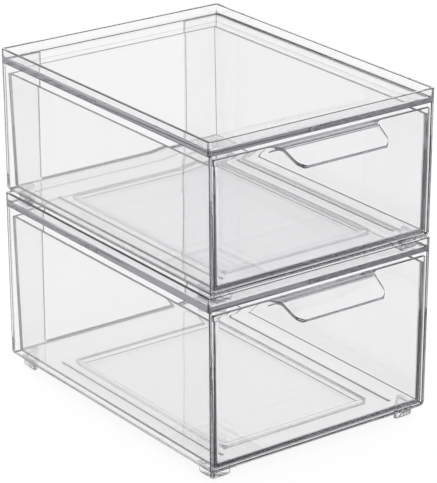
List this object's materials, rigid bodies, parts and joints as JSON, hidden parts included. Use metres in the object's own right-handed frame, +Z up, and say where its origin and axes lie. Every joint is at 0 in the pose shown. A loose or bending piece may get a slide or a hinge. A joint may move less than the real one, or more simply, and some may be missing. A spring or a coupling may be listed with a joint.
{
  "type": "stackable drawer box",
  "caption": "Clear stackable drawer box: open-fronted cases with rimmed covers, pull-out drawers with flared pull lips, and small corner feet that stand inside the rim below.",
  "frame": {"origin": "bottom centre of the stack's bounding box, in the plane of the lower feet", "axes": "+X to the right across the drawer fronts, -Y out of the front (the way the drawers pull), +Z up"},
  "size_m": [0.2, 0.288, 0.2567],
  "materials": {
    "clear_case": "clear, polished, colourless moulded plastic",
    "clear_cover": "clear, polished, colourless moulded plastic",
    "clear_drawer": "clear, polished, colourless moulded plastic",
    "clear_foot": "clear, polished, colourless moulded plastic"
  },
  "bodies": {
    "lower_unit": {"lower_case": "clear_case", "lower_cover": "clear_cover", "lower_foot_front_left": "clear_foot", "lower_foot_front_right": "clear_foot", "lower_foot_rear_left": "clear_foot", "lower_foot_rear_right": "clear_foot"},
    "lower_tray": {"lower_drawer": "clear_drawer"},
    "upper_unit": {"upper_case": "clear_case", "upper_cover": "clear_cover", "upper_foot_front_left": "clear_foot", "upper_foot_front_right": "clear_foot", "upper_foot_rear_left": "clear_foot", "upper_foot_rear_right": "clear_foot"},
    "upper_tray": {"upper_drawer": "clear_drawer"}
  },
  "joints": [
    {"name": "lower_drawer_slide", "type": "slide", "parent": "lower_unit", "child": "lower_tray", "axis": [0, -1, 0], "range_m": [0, 0.2]},
    {"name": "upper_unit_lift", "type": "slide", "parent": "lower_unit", "child": "upper_unit", "axis": [0, 0, 1], "range_m": [0, 0.06]},
    {"name": "upper_drawer_slide", "type": "slide", "parent": "upper_unit", "child": "upper_tray", "axis": [0, -1, 0], "range_m": [0, 0.2]}
  ]
}
